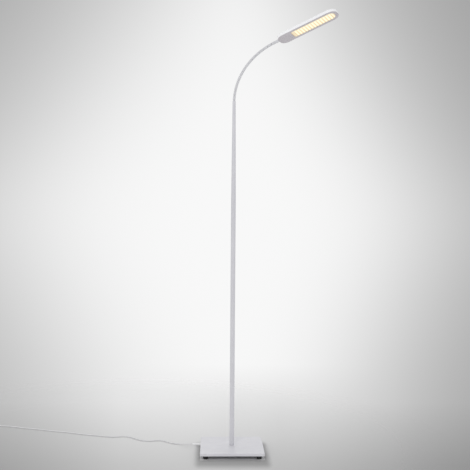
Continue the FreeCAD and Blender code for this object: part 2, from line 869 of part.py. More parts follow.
def cable_clip():
    """Stick-on saddle drawn over a lead that runs along X."""
    half = clip_length / 2
    corner = V(-half, -clip_half_width, clip_bottom)
    body = Part.makeBox(clip_length, 2 * clip_half_width, plate_bottom - clip_bottom, corner)
    low = [e for e in edges_at(body, clip_bottom) if abs(e.BoundBox.XLength - clip_length) < 1e-6]
    body = body.makeFillet(clip_round, low)
    bore_diameter = cord_diameter + 2 * lead_gap
    return body.cut(cylinder(bore_diameter, clip_length, V(-half, 0, inner_lead_height), X_AXIS))


def cable_clips():
    """The saddles hold the lead against the plate's underside on its way to the pole."""
    corner = inner_lead_corner()
    way = V(0, 0, inner_lead_height) - corner
    clips = []
    for share in clip_places:
        spot = corner + way * share
        clip = cable_clip()
        clip.Placement = FreeCAD.Placement(V(spot.x, spot.y, 0), FreeCAD.Rotation(X_AXIS, V(way.x, way.y, 0)))
        clips.append(clip)
    return clips


def biarc(p0, t0, p1, t1):
    """Two arcs from p0 with tangent t0 to p1 with tangent t1."""
    v = p1 - p0
    t = t0 + t1
    a = 2 * (1 - t0.dot(t1))
    b = 2 * v.dot(t)
    c = -v.dot(v)
    if abs(a) < 1e-9:
        d = -c / b
    else:
        d = (-b + math.sqrt(b * b - 4 * a * c)) / (2 * a)
    joint = (p0 + p1 + (t0 - t1) * d) * 0.5
    return [arc_from(p0, t0, joint), arc_from(p1, t1 * -1, joint, True)]


def arc_from(start, tangent, end, backwards=False):
    """Arc that leaves start along tangent and reaches end."""
    chord = end - start
    side = chord - tangent * chord.dot(tangent)
    if side.Length < 1e-9:
        edge = (end, start) if backwards else (start, end)
        return Part.LineSegment(*edge).toShape()
    side.normalize()
    radius = chord.dot(chord) / (2 * chord.dot(side))
    centre = start + side * radius
    half = (start + end) * 0.5 - centre
    middle = centre + half.normalize() * radius
    if chord.dot(tangent) < 0:
        middle = centre - half * radius
    if backwards:
        return Part.Arc(end, middle, start).toShape()
    return Part.Arc(start, middle, end).toShape()


def coil_outer_radius():
    return coil_inner_radius + coil_turns_per_layer * coil_pitch


def coil_centre():
    end = cord_points()[-1]
    return V(end.x - cord_diameter, end.y - coil_outer_radius(), 0)


def coil_total_turns():
    return 2 * coil_turns_per_layer + coil_climb_turns + coil_last_turn


def coil_point(turn):
    """Centre line of the coil after so many turns: in on the lower layer, up, out on the upper layer."""
    low = coil_turns_per_layer
    if turn < low:
        radius, height = coil_outer_radius() - coil_pitch * turn, coil_height
    elif turn < low + coil_climb_turns:
        share = (turn - low) / coil_climb_turns
        radius = coil_inner_radius - coil_climb_dip * math.sin(math.pi * share) ** 2
        height = coil_height + coil_layer_step * (1 - math.cos(math.pi * share)) / 2
    else:
        out = turn - low - coil_climb_turns
        radius, height = coil_inner_radius + coil_pitch * out, coil_height + coil_layer_step
    angle = math.radians(coil_start_angle + 360 * turn)
    centre = coil_centre()
    return V(centre.x + radius * math.cos(angle), centre.y + radius * math.sin(angle), height)


def coil_tangent(turn):
    step = 1e-4
    if turn < step or turn > coil_total_turns() - step:
        angle = math.radians(coil_start_angle + 360 * turn)
        return V(-math.sin(angle), math.cos(angle), 0)
    return (coil_point(turn + step) - coil_point(turn - step)).normalize()


def coil_samples():
    count = round(coil_total_turns() * coil_steps_per_turn)
    return [i * coil_total_turns() / count for i in range(count + 1)]


def cord_coil():
    """The put-away length: one unbroken tube wound in two layers."""
    samples = coil_samples()
    first, last = coil_point(samples[0]), coil_point(samples[-1])
    start = first - coil_tangent(samples[0]) * cord_diameter
    finish = last + coil_tangent(samples[-1]) * cord_diameter
    edges = [Part.LineSegment(start, first).toShape()]
    for a, b in zip(samples, samples[1:]):
        edges += biarc(coil_point(a), coil_tangent(a), coil_point(b), coil_tangent(b))
    edges.append(Part.LineSegment(last, finish).toShape())
    wire = Part.Wire(edges)
    radii = [e.Curve.Radius for e in edges if hasattr(e.Curve, "Radius")]
    solid = sweep_round(wire, start, coil_tangent(samples[0]), cord_diameter)
    section = math.pi * cord_diameter ** 2 / 4
    print("coil: length %.0f, tightest radius %.1f, volume over section x length %.5f"
          % (wire.Length, min(radii), solid.Volume / (section * wire.Length)))
    print("coil: least gap to itself %.2f" % coil_least_gap(wire))
    return solid, finish, coil_tangent(samples[-1])


def coil_least_gap(wire):
    """Smallest distance between the surfaces of two turns, on points along the tube's own path."""
    step = 1.0
    points = wire.discretize(Distance=step)
    half_turn = int(math.pi * coil_inner_radius / step)
    least = min((p - q).Length for i, p in enumerate(points) for q in points[i + half_turn:])
    return least - cord_diameter


def cord_points():
    return [cord_start + V(*p) for p in cord_route]


def free_cord():
    points = cord_points()
    wire, length, radii = rounded_path(points)
    solid = sweep_round(wire, points[0], points[1] - points[0], cord_diameter)
    section = math.pi * cord_diameter ** 2 / 4
    runs = [(b - a).Length for a, b in zip(points, points[1:])]
    volume_ratio = solid.Volume / (section * length)
    print("cord: length %.0f, volume over section x length %.5f" % (length, volume_ratio))
    print("cord: radii %s" % ["%.0f" % r for r in radii])
    print("cord: runs %s" % ["%.0f" % r for r in runs])
    return solid


def coil_radii_at(angle):
    """Distances from the coil's centre of all its turns in one direction."""
    first = (angle - coil_start_angle) / 360 % 1
    turns = [first + i for i in range(int(coil_total_turns() - first) + 1)]
    centre = coil_centre()
    return [math.hypot(coil_point(t).x - centre.x, coil_point(t).y - centre.y) for t in turns]


def tie_outline(x0, x1, z0, z1, corner):
    """Block across the bundle of turns, its long edges rounded."""
    block = Part.makeBox(x1 - x0, tie_width, z1 - z0, V(x0, -tie_width / 2, z0))
    return block.makeFillet(corner, [e for e in block.Edges if abs(e.BoundBox.YLength - tie_width) < 1e-6])


def coil_tie():
    """Strap round the bundle of turns, with room for their curve and drift across its width."""
    radii = coil_radii_at(tie_angle)
    drift = coil_pitch * tie_width / (2 * math.pi * coil_inner_radius)
    nearest = min(radii) - cord_diameter / 2 - drift
    inner = math.sqrt(nearest ** 2 - tie_width ** 2 / 4) - tie_gap
    outer = max(radii) + cord_diameter / 2 + tie_gap
    low = coil_height - cord_diameter / 2 - tie_gap
    high = coil_height + coil_layer_step + cord_diameter / 2 + tie_gap
    t = tie_thickness
    strap = tie_outline(inner - t, outer + t, low - t, high + t, tie_corner + t)
    strap = strap.cut(tie_outline(inner, outer, low, high, tie_corner))
    strap.Placement = FreeCAD.Placement(coil_centre(), FreeCAD.Rotation(Z_AXIS, tie_angle))
    return strap


def supply_frame(end, direction):
    """Placement that carries pieces drawn along +X from the cord's end."""
    return FreeCAD.Placement(V(end.x, end.y, 0), FreeCAD.Rotation(X_AXIS, direction))


def supply_slab(inset, z0, z1):
    start = supply_relief_length + inset
    end = supply_relief_length + supply_length - inset
    corner = supply_corner - inset
    return rounded_slab(start, end, supply_width / 2 - inset, corner, corner, z0, z1)


def supply_case(z0, z1, is_lower):
    """One half of the supply's shell: a tray with a rounded closed side."""
    case = supply_slab(0, z0, z1)
    case = case.makeFillet(supply_edge_round, edges_at(case, z0 if is_lower else z1))
    if is_lower:
        return case.cut(supply_slab(supply_wall, z0 + supply_wall, z1))
    return case.cut(supply_slab(supply_wall, z0, z1 - supply_wall))


def supply_relief(axis_height):
    r0, r1 = supply_relief_start / 2, supply_relief_end / 2
    sleeve = revolve([(0, 0), (r0, 0), (r1, supply_relief_length), (0, supply_relief_length)])
    sleeve.Placement = FreeCAD.Placement(V(0, 0, axis_height), FreeCAD.Rotation(Z_AXIS, X_AXIS))
    return sleeve


def supply_pins():
    x0 = supply_relief_length + supply_length
    pins = []
    for side in (-1, 1):
        root = V(x0, side * pin_spacing / 2, supply_split + pin_rise)
        pin = cylinder(pin_diameter, pin_length, root, X_AXIS)
        tip = [e for e in pin.Edges if abs(e.BoundBox.XMin - x0 - pin_length) < 1e-6]
        pins.append(pin.makeFillet(pin_tip_round, tip))
    return pins


def make_lead():
    nodes["lead_gland"] = lead_gland()
    nodes["gland_screw"] = gland_screw()
    nodes["inner_lead"] = inner_lead()
    nodes["cable_clips"] = cable_clips()
    nodes["strain_relief"] = strain_relief()
    nodes["cord"] = free_cord()
    coil, end, direction = cord_coil()
    nodes["cord_coil"] = coil
    nodes["coil_tie"] = coil_tie()
    frame = supply_frame(end, direction)
    pieces = {
        "supply_relief": supply_relief(end.z),
        "supply_lower_case": supply_case(0.0, supply_split, True),
        "supply_upper_case": supply_case(supply_split + supply_seam, supply_height, False),
        "supply_pins": supply_pins(),
    }
    for name, shape in pieces.items():
        solids = shape if isinstance(shape, list) else [shape]
        for s in solids:
            s.Placement = frame.multiply(s.Placement)
        nodes[name] = shape
    cord_names.extend(["strain_relief", "cord", "cord_coil", "coil_tie"] + list(pieces))


# ---------------------------------------------------------------- the whole lamp
def as_shape(piece):
    return Part.makeCompound(piece) if isinstance(piece, list) else piece


def lamp_origin():
    """Bottom centre of the lamp's box, without the lead."""
    box = FreeCAD.BoundBox()
    for name, piece in nodes.items():
        if name not in cord_names:
            box.add(as_shape(piece).optimalBoundingBox(False))
    return V((box.XMin + box.XMax) / 2, (box.YMin + box.YMax) / 2, box.ZMin)


def print_joints(origin):
    heading = math.radians(neck_heading)
    for i, (reach, height, angle) in enumerate(neck_stations(), start=1):
        place = V(reach * math.cos(heading), reach * math.sin(heading), height) - origin
        tilt = math.degrees(angle)
        print("joint %02d: centre %.3f %.3f %.3f, tilt after it %.3f" % (i, place.x, place.y, place.z, tilt))


def main():
    os.makedirs("parts", exist_ok=True)
    make_base()
    make_pole()
    make_neck()
    make_head()
    make_lead()
    origin = lamp_origin()
    print("pole axis at %.3f %.3f from the origin, floor offset %.3f" % (-origin.x, -origin.y, origin.z))
    print_joints(origin)
    for name, piece in nodes.items():
        shape = as_shape(piece).copy()
        shape.translate(origin * -1)
        shape.exportStep("parts/%s.step" % name)
    print("%d nodes" % len(nodes))


main()
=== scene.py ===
# %% [markdown]
# # A gooseneck reading floor lamp, dressed for its photograph
#
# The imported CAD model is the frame: it already has the plate, the pole, the links of the neck and the
# flat head in their true sizes. They could be modelled again in Blender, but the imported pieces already
# fit one another, so this lesson only gives them their finishes. It also lays the lead on the floor as
# one smooth curve, and sets the camera and the light. Lengths are in metres, unless a name ends in _mm.

# %% Load the frame
import json
import math

import bpy
from mathutils import Matrix, Vector


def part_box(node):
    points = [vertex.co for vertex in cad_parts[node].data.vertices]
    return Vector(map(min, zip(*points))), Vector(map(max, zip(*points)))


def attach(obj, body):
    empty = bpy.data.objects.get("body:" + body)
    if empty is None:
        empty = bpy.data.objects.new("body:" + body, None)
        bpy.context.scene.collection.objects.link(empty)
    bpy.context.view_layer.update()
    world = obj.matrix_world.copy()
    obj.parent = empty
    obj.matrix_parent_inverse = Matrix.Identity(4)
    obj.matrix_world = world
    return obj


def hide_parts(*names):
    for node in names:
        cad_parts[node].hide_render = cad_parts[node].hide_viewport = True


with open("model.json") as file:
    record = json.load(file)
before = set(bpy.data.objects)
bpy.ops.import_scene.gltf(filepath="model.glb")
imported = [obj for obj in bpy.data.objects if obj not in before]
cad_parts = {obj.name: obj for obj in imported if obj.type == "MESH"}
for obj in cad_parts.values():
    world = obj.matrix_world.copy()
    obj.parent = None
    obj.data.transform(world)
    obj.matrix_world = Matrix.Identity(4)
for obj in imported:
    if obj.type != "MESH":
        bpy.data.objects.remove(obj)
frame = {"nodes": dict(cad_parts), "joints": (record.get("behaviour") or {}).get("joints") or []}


def rounded(vector, digits=4):
    """A vector's numbers, short enough to print."""
    return [round(value, digits) for value in vector]


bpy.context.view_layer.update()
plate_low, plate_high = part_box("base_plate")
pole_foot = (plate_low + plate_high) / 2
pole_foot.z = 0.0
print("pole stands at", rounded(pole_foot))

# %% [markdown]
# ## Camera
#
# The photograph looks almost level at the lamp from 2.4 m, with the eye at half its height. A camera
# set by eye would be off by more than this slim lamp forgives, and walls and floor give no lines. So
# the camera comes from the square base: its side, its turn and its apparent depth fix distance and
# height. The picture leans by less than half a degree, which the pole shows.

# %% Camera
image_side_px = 470
focal_px = 762.0
sensor_mm = 36.0
farthest_seen = 60.0
camera_turn = math.radians(1.7)
camera_lean = math.radians(0.40)
camera_from_pole = Vector((-0.0666, -2.4391, 0.692))

forward = Vector((math.sin(camera_turn), math.cos(camera_turn), 0))
level_right = Vector((math.cos(camera_turn), -math.sin(camera_turn), 0))
right = level_right * math.cos(camera_lean) + Vector((0, 0, math.sin(camera_lean)))
up = Vector((0, 0, math.cos(camera_lean))) - level_right * math.sin(camera_lean)

camera_data = bpy.data.cameras.new("Camera")
camera_data.sensor_width = sensor_mm
camera_data.lens = focal_px / image_side_px * sensor_mm
camera_data.clip_end = farthest_seen
camera = bpy.data.objects.new("Camera", camera_data)
bpy.context.scene.collection.objects.link(camera)
camera_axes = Matrix((right, up, -forward)).transposed().to_4x4()
camera.matrix_world = Matrix.Translation(pole_foot + camera_from_pole) @ camera_axes
bpy.context.scene.camera = camera
bpy.context.scene.view_settings.view_transform = "Standard"
print("camera at", rounded(camera.matrix_world.translation, 3), "lens", round(camera_data.lens, 2), "mm")

# %% [markdown]
# ## The lead
#
# The real lead is a soft two-core cord, under 4 mm thick. It leaves a tapered sleeve under the plate's
# left rim, sinks to the floor and wanders off to the left in the shallow waves that a cord keeps from
# its packing. Each point of its free run is so many millimetres right of the pole, behind it and above
# the floor, as in the CAD model.

# %% Route of the lead
cord_diameter = 0.0038
free_route_mm = [
    (-127, 58, 7.0), (-145, 58, 7.0), (-166, 72, 3.8), (-188, 82, 2.0), (-208, 97, 2.0), (-228, 118, 2.0),
    (-247, 122, 2.0), (-270, 112, 2.0), (-302, 121, 2.0), (-334, 157, 2.0), (-356, 172, 2.0),
    (-378, 172, 2.0), (-396, 163, 2.0), (-422, 170, 2.0), (-452, 182, 2.0), (-486, 192, 2.0),
    (-526, 208, 2.0), (-577, 232, 2.0), (-629, 246, 2.0), (-679, 270, 2.0), (-729, 284, 2.0),
    (-775, 306, 2.0), (-816, 316, 2.0), (-846, 320, 2.85), (-866, 320, 2.85),
]
route = [pole_foot + Vector(point) / 1000 for point in free_route_mm]
print("free run has", len(route), "points, from", rounded(route[0]), "to", rounded(route[-1]))

# %% [markdown]
# What the photograph cuts off is put away as a coil beyond the picture's edge, held by a strap, with
# the plug-in supply on its end. The coil runs in on the floor, climbs a layer inside, and runs out
# again on top, as a hand winds it. Its turns lie a little over one diameter apart. A formula gives
# every point of it.

# %% Coil of the put-away length
turns_per_layer = 3.25
climb_turns = 0.5
last_turn = 0.25
start_angle = 90
inner_radius = 0.0155
pitch = 0.0044
layer_step = 0.0043
layer_height = 0.00285
climb_dip = 0.0009
points_per_turn = 16
outer_radius = inner_radius + turns_per_layer * pitch
coil_centre = route[-1] + Vector((-cord_diameter, -outer_radius, 0))
total_turns = 2 * turns_per_layer + climb_turns + last_turn


def coil_point(turn):
    """Centre line after so many turns."""
    if turn < turns_per_layer:
        radius, height = outer_radius - pitch * turn, layer_height
    elif turn < turns_per_layer + climb_turns:
        share = (turn - turns_per_layer) / climb_turns
        radius = inner_radius - climb_dip * math.sin(math.pi * share) ** 2
        height = layer_height + layer_step * (1 - math.cos(math.pi * share)) / 2
    else:
        radius = inner_radius + pitch * (turn - turns_per_layer - climb_turns)
        height = layer_height + layer_step
    angle = math.radians(start_angle + 360 * turn)
    x = coil_centre.x + radius * math.cos(angle)
    y = coil_centre.y + radius * math.sin(angle)
    return Vector((x, y, height))


coil_count = round(total_turns * points_per_turn)
route += [coil_point(i * total_turns / coil_count) for i in range(coil_count + 1)]
route.append(route[-1] + Vector((0, -cord_diameter, 0)))
coil_width = 2 * outer_radius + cord_diameter
print("lead has", len(route), "points; coil", round(coil_width, 3), "m across")

# %% [markdown]
# A chain of straight pieces would show a corner at every point. One NURBS curve carries all of the
# lead, free run and coil, so no bend can have a corner. Its round profile has a radius of one, and each
# point scales it to the cord's own radius.

# %% Lead as one curve
curve = bpy.data.curves.new("lead", "CURVE")
curve.dimensions = "3D"
curve.resolution_u = 6
curve.bevel_depth = 1.0
curve.bevel_resolution = 5
curve.use_fill_caps = True
spline = curve.splines.new("NURBS")
spline.points.add(len(route) - 1)
for point, place in zip(spline.points, route):
    point.co = (*place, 1.0)
    point.radius = cord_diameter / 2
spline.order_u = 3
spline.use_endpoint_u = True
lead = bpy.data.objects.new("lead", curve)
bpy.context.scene.collection.objects.link(lead)
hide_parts("cord", "cord_coil")
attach(lead, "stand")
print("lead is one curve,", cord_diameter, "m thick")

# %% [markdown]
# ## Finishes
#
# Every finish is built from nodes, so it stays sharp at any distance. Numbers that are the same all
# over a surface stay on the shader's own sockets; only what varies over the surface is linked. The
# first helper starts such a material.


# %% Starting a material
def start_material(name, color, roughness, **settings):
    """A new material. Extra settings name the shader's sockets, with _ for each space."""
    material = bpy.data.materials.new(name)
    material.use_nodes = True
    tree = material.node_tree
    shader = tree.nodes["Principled BSDF"]
    shader.inputs["Base Color"].default_value = (*color, 1)
    shader.inputs["Roughness"].default_value = roughness
    for socket, value in settings.items():
        shader.inputs[socket.replace("_", " ")].default_value = value
    return material, tree, shader


# %% [markdown]
# Sums of patterns are written as nodes too. One function makes a Math node and takes plain numbers and
# output sockets alike, so a longer sum reads like a formula.


# %% Sums in a node tree
def sums(tree, operation, *values):
    """One Math node. Its inputs are numbers or output sockets, and it gives its own output socket."""
    node = tree.nodes.new("ShaderNodeMath")
    node.operation = operation
    for socket, value in zip(node.inputs, values):
        if isinstance(value, (int, float)):
            socket.default_value = value
        else:
            tree.links.new(value, socket)
    return node.outputs["Value"]


# %% [markdown]
# Noise is laid out in the lamp's own metres, so a grain is given in millimetres and has the same size
# on every piece. It stays on the piece when a joint moves it.


# %% Noise on a piece
def lamp_metres(tree):
    """A piece's own coordinates: the lamp's metres at rest, and they stay on the piece when it moves."""
    return tree.nodes.new("ShaderNodeTexCoord").outputs["Object"]


def noise(tree, grain_mm, detail=2.0, stretch=(1, 1, 1)):
    """Noise whose lumps are about grain_mm wide, longer along an axis whose stretch is under 1."""
    texture = tree.nodes.new("ShaderNodeTexNoise")
    texture.inputs["Scale"].default_value = 1000 / grain_mm
    texture.inputs["Detail"].default_value = detail
    mapping = tree.nodes.new("ShaderNodeMapping")
    mapping.inputs["Scale"].default_value = stretch
    tree.links.new(lamp_metres(tree), mapping.inputs["Vector"])
    tree.links.new(mapping.outputs["Vector"], texture.inputs["Vector"])
    return texture.outputs["Fac"]


# %% [markdown]
# Two helpers turn a pattern into something a shader can use: a ramp makes a colour of it, a span makes
# another number.


# %% Ramp and span
def ramp(tree, factor, stops):
    """Colour by factor. Stops are (position, grey) or (position, (r, g, b))."""
    node = tree.nodes.new("ShaderNodeValToRGB")
    elements = node.color_ramp.elements
    while len(elements) < len(stops):
        elements.new(1.0)
    for element, (position, color) in zip(elements, stops):
        element.position = position
        rgb = (color, color, color) if isinstance(color, float) else color
        element.color = (*rgb, 1)
    tree.links.new(factor, node.inputs["Fac"])
    return node.outputs["Color"]


def span(tree, value, low, high, out_low=0.0, out_high=1.0):
    """Takes a value from one range to another and clamps it there."""
    node = tree.nodes.new("ShaderNodeMapRange")
    node.inputs["From Min"].default_value = low
    node.inputs["From Max"].default_value = high
    node.inputs["To Min"].default_value = out_low
    node.inputs["To Max"].default_value = out_high
    tree.links.new(value, node.inputs["Value"])
    return node.outputs["Result"]


# %% [markdown]
# Three things make a plain coat or moulding look real from near by: its colour drifts a little, its
# gloss varies with handling, and its skin has a fine relief. Each is one short function. Noise mostly
# keeps to its middle values, so tone and gloss run over those alone.

# %% Surface helpers
tone_from = 0.32
tone_to = 0.68
gloss_from = 0.35
gloss_to = 0.65
gloss_detail = 4.0


def tones(tree, grain_mm, low, high):
    """A colour that wanders between two near tones."""
    return ramp(tree, noise(tree, grain_mm), [(tone_from, low), (tone_to, high)])


def drift(tree, shader, grain_mm, low, high):
    """Base colour wanders between two near tones."""
    tree.links.new(tones(tree, grain_mm, low, high), shader.inputs["Base Color"])


def gloss(tree, shader, grain_mm, smooth, dull):
    """Roughness wanders between two values."""
    rough = span(tree, noise(tree, grain_mm, gloss_detail), gloss_from, gloss_to, smooth, dull)
    tree.links.new(rough, shader.inputs["Roughness"])


def relief(tree, shader, height, depth_mm, strength=1.0):
    """Bump from a height between 0 and 1."""
    bump = tree.nodes.new("ShaderNodeBump")
    bump.inputs["Strength"].default_value = strength
    bump.inputs["Distance"].default_value = depth_mm / 1000
    tree.links.new(height, bump.inputs["Height"])
    tree.links.new(bump.outputs["Normal"], shader.inputs["Normal"])


# %% [markdown]
# A finish goes on whole CAD nodes. Their meshes stay as they are; only the material on them is
# exchanged.


# %% Dressing the pieces
def dress(material, *nodes):
    """Give CAD nodes their finish."""
    for node in nodes:
        mesh = frame["nodes"][node].data
        mesh.materials.clear()
        mesh.materials.append(material)
    print(material.name, "on", len(nodes), "nodes")


# %% [markdown]
# ### Powder coat on the base and the pole
#
# The plate and the tubes are sprayed with a pale powder, cool white with a trace of violet, and baked.
# The powder melts into a satin skin with the soft dimples of orange peel, under a millimetre wide. Cut
# into the mesh, dimples this shallow would take millions of faces, so bump makes them, from two noises:
# one for the dimples, a finer one for the grain between them.

# %% Powder coat
coat_low = (0.615, 0.612, 0.650)
coat_high = (0.650, 0.647, 0.682)
grain_share = 0.3
coat, tree, shader = start_material(
    "powder_coat", coat_high, roughness=0.4, Coat_Weight=0.2, Coat_Roughness=0.22)
drift(tree, shader, grain_mm=90, low=coat_low, high=coat_high)
gloss(tree, shader, grain_mm=25, smooth=0.32, dull=0.48)
dimples = noise(tree, grain_mm=0.9, detail=1.0)
grain = noise(tree, grain_mm=0.25, detail=1.0)
peel = sums(tree, "MULTIPLY_ADD", grain, grain_share, dimples)
relief(tree, shader, peel, depth_mm=0.09, strength=0.8)
dress(coat, "base_plate", "pole_lower", "pole_middle", "pole_upper", "neck_collar")

# %% [markdown]
# ### Neck
#
# The ribs are real shape in the CAD links, so the finish adds only the coat. It is the same pale colour
# in a thinner, smoother coat that doesn't fill the ribs. Hands that bend the neck rub it glossier in
# small patches.

# %% Neck coat
neck_low = (0.61, 0.61, 0.635)
neck_middle = (0.625, 0.625, 0.65)
neck_high = (0.64, 0.64, 0.665)
neck_coat, tree, shader = start_material("neck_coat", neck_middle, roughness=0.4, Coat_Weight=0.15)
drift(tree, shader, grain_mm=30, low=neck_low, high=neck_high)
gloss(tree, shader, grain_mm=6, smooth=0.3, dull=0.48)
relief(tree, shader, noise(tree, grain_mm=0.35, detail=1.0), depth_mm=0.03, strength=0.6)
neck_links = [name for name in frame["nodes"] if name.startswith("neck_link_")]
dress(neck_coat, "neck_end_stem", *neck_links)

# %% [markdown]
# ### Head
#
# The head hangs tilted and turned, so a pattern along the world's axes would run askew over it.
# Patterns are worked out in the head's own directions instead. They come from the last joint of the
# neck: along the head, across it and up through it. The neck's heading is measured from the lamp's
# right, the head's tilt from upright.

# %% Directions of the head
neck_heading = math.radians(-26.7)
head_tilt = math.radians(70.32)
head_roll = math.radians(5.0)
neck_end = 0.024
last_joint = Vector(frame["joints"][-1]["pos_m"])
outward = Vector((math.cos(neck_heading), math.sin(neck_heading), 0))
head_along = outward * math.sin(head_tilt) + Vector((0, 0, math.cos(head_tilt)))
level_side = Vector((0, 0, 1)).cross(outward)
level_up = head_along.cross(level_side)
head_side = level_side * math.cos(head_roll) - level_up * math.sin(head_roll)
head_up = head_along.cross(head_side)
head_root = last_joint + head_along * neck_end
print("head root at", rounded(head_root), "points along", rounded(head_along, 3))


# %% [markdown]
# A point's place along one of these directions is the way from the head's root to the point, measured
# along that direction. Two Vector Math nodes do it.


# %% Places on the head
def vector_sums(tree, operation, vector, fixed):
    """One Vector Math node between an output socket and a fixed vector."""
    node = tree.nodes.new("ShaderNodeVectorMath")
    node.operation = operation
    node.inputs[1].default_value = fixed
    tree.links.new(vector, node.inputs[0])
    gives_number = operation in ("DISTANCE", "DOT_PRODUCT")
    return node.outputs["Value" if gives_number else "Vector"]


def along_direction(tree, direction):
    """Metres from the head's root along a direction."""
    from_root = vector_sums(tree, "SUBTRACT", lamp_metres(tree), head_root)
    return vector_sums(tree, "DOT_PRODUCT", from_root, direction)


# %% [markdown]
# Where a finish changes over a piece, a factor between 0 and 1 says how far it has changed. A Mix node
# takes the colour from one to the other by that factor.


# %% Mixing two colours
def mix_color(tree, factor, first, second):
    """First colour at factor 0, second at 1. Each is an (r, g, b) or an output socket."""
    node = tree.nodes.new("ShaderNodeMix")
    node.data_type = "RGBA"
    tree.links.new(factor, node.inputs["Factor"])
    for name, value in (("A", first), ("B", second)):
        if isinstance(value, tuple):
            node.inputs[name].default_value = (*value, 1)
        else:
            tree.links.new(value, node.inputs[name])
    return node.outputs["Result"]


# %% [markdown]
# The upper shell is smooth white plastic from a polished mould, almost free of texture. Along its lip,
# where it meets the panel, the shell takes the panel's grey, which makes one even rim.
# Two materials would need a cut along the lip. One material whose colour changes from grey to white at
# the lip's height needs none.

# %% Head shell
shell_low = (0.915, 0.915, 0.935)
shell_high = (0.945, 0.945, 0.965)
lip_grey = (0.575, 0.545, 0.575)
lip_height = -0.0036
lip_blur = 0.0002
shell_white, tree, shader = start_material(
    "shell_white", shell_high, roughness=0.26, Coat_Weight=0.35, Coat_Roughness=0.1)
white = tones(tree, grain_mm=60, low=shell_low, high=shell_high)
above_lip = span(tree, along_direction(tree, head_up), lip_height - lip_blur, lip_height + lip_blur)
tree.links.new(mix_color(tree, above_lip, lip_grey, white), shader.inputs["Base Color"])
gloss(tree, shader, grain_mm=12, smooth=0.22, dull=0.32)
relief(tree, shader, noise(tree, grain_mm=6.0, detail=0.0), depth_mm=0.02, strength=0.3)
dress(shell_white, "head_top_shell")

# %% [markdown]
# The panel below the shell is a shade darker, warm grey with a trace of violet, and has the fine
# sparkle of an eroded mould that hides scratches. A very fine bump on a matt base gives that sparkle.

# %% Head panel
panel_low = (0.545, 0.515, 0.545)
panel_high = lip_grey
panel_grey, tree, shader = start_material("panel_grey", panel_high, roughness=0.55)
drift(tree, shader, grain_mm=40, low=panel_low, high=panel_high)
gloss(tree, shader, grain_mm=8, smooth=0.48, dull=0.62)
relief(tree, shader, noise(tree, grain_mm=0.3, detail=3.0), depth_mm=0.03, strength=0.7)
dress(panel_grey, "head_under_panel", "neck_clamp")

# %% [markdown]
# ### The lit window
#
# The window is a cover of clear ribbed plastic, lit from above by warm white chips. Each rib gathers
# the light into one bright bar; between two bars runs a darker, more amber line. Real lamps behind
# clear ribs would take very long to render without grain, so the cover's own glow is painted with the
# pattern that they make. A wave along the head, one period to a rib, does it: its crest is the middle
# of a line, and from bar_wave down all is bar. The bars are clearest on the far side and melt together
# on the near side.

# %% Bars of the window
window_start = 0.0467
window_end = 0.1893
window_half_width = 0.0208
rib_count = 15
cover_tint = (0.42, 0.38, 0.28)
bar_cream = (1.0, 0.93, 0.66)
line_amber = (0.70, 0.48, 0.24)
glow_strength = 0.76
line_wave = 1.0
bar_wave = -0.35
near_clarity = 0.6
lens, tree, shader = start_material(
    "lens_glow", cover_tint, roughness=0.3, Emission_Strength=glow_strength)
along = along_direction(tree, head_along)
across = along_direction(tree, head_side)
rib_phase = span(tree, along, window_start, window_end, 0.0, 2 * math.pi * rib_count)
bar = span(tree, sums(tree, "COSINE", rib_phase), line_wave, bar_wave)
clarity = span(tree, across, -window_half_width, 0.0, near_clarity, 1.0)
line = sums(tree, "MULTIPLY", sums(tree, "SUBTRACT", 1.0, bar), clarity)
glow = mix_color(tree, line, bar_cream, line_amber)
print("bars are", round((window_end - window_start) / rib_count, 4), "m apart")

# %% [markdown]
# The window glows weaker and more amber next to the neck and along its rim, where the chips behind it
# end.

# %% Rim of the window
rim_amber = (0.50, 0.36, 0.20)
neck_fade = 0.014
tip_fade = 0.006
side_fade = 0.005
rim_share = 0.9
near_neck = span(tree, along, window_start + neck_fade, window_start)
near_tip = span(tree, along, window_end - tip_fade, window_end, 0.0, rim_share)
aside = sums(tree, "ABSOLUTE", across)
near_side = span(tree, aside, window_half_width - side_fade, window_half_width, 0.0, rim_share)
near_rim = sums(tree, "MAXIMUM", sums(tree, "MAXIMUM", near_neck, near_tip), near_side)
tree.links.new(mix_color(tree, near_rim, glow, rim_amber), shader.inputs["Emission Color"])
gloss(tree, shader, grain_mm=4, smooth=0.25, dull=0.36)
dress(lens, "led_lens")

# %% [markdown]
# ### Inside the head
#
# Behind the window sit a white board, its chips and a sheet that spreads their heat. They hardly show,
# but anyone who takes the head apart meets them, so they get true finishes too: solder mask with a
# faint weave of the board's glass cloth, chips under yellow gel, and bare rolled sheet. The weave is
# one noise drawn out lengthwise times one drawn out crosswise.

# %% Boards
mask_low = (0.82, 0.83, 0.78)
mask_middle = (0.84, 0.85, 0.80)
mask_high = (0.86, 0.87, 0.83)
board, tree, shader = start_material("board_mask", mask_middle, roughness=0.42)
warp = noise(tree, grain_mm=1.2, detail=0.0, stretch=(0.2, 1, 1))
weft = noise(tree, grain_mm=1.2, detail=0.0, stretch=(1, 0.2, 1))
weave = sums(tree, "MULTIPLY", warp, weft)
drift(tree, shader, grain_mm=8, low=mask_low, high=mask_high)
relief(tree, shader, weave, depth_mm=0.05, strength=0.5)
dress(board, "led_board", "control_board")

# %% Chips and sheet
gel_body = (0.95, 0.72, 0.25)
gel_deep = (1.0, 0.78, 0.38)
gel_pale = (1.0, 0.86, 0.55)
gel_from = 0.3
gel_to = 0.7
chips, tree, shader = start_material("chip_gel", gel_body, roughness=0.25, Emission_Strength=1.0)
gel = ramp(tree, noise(tree, grain_mm=1.5), [(gel_from, gel_deep), (gel_to, gel_pale)])
tree.links.new(gel, shader.inputs["Emission Color"])
dress(chips, "leds")

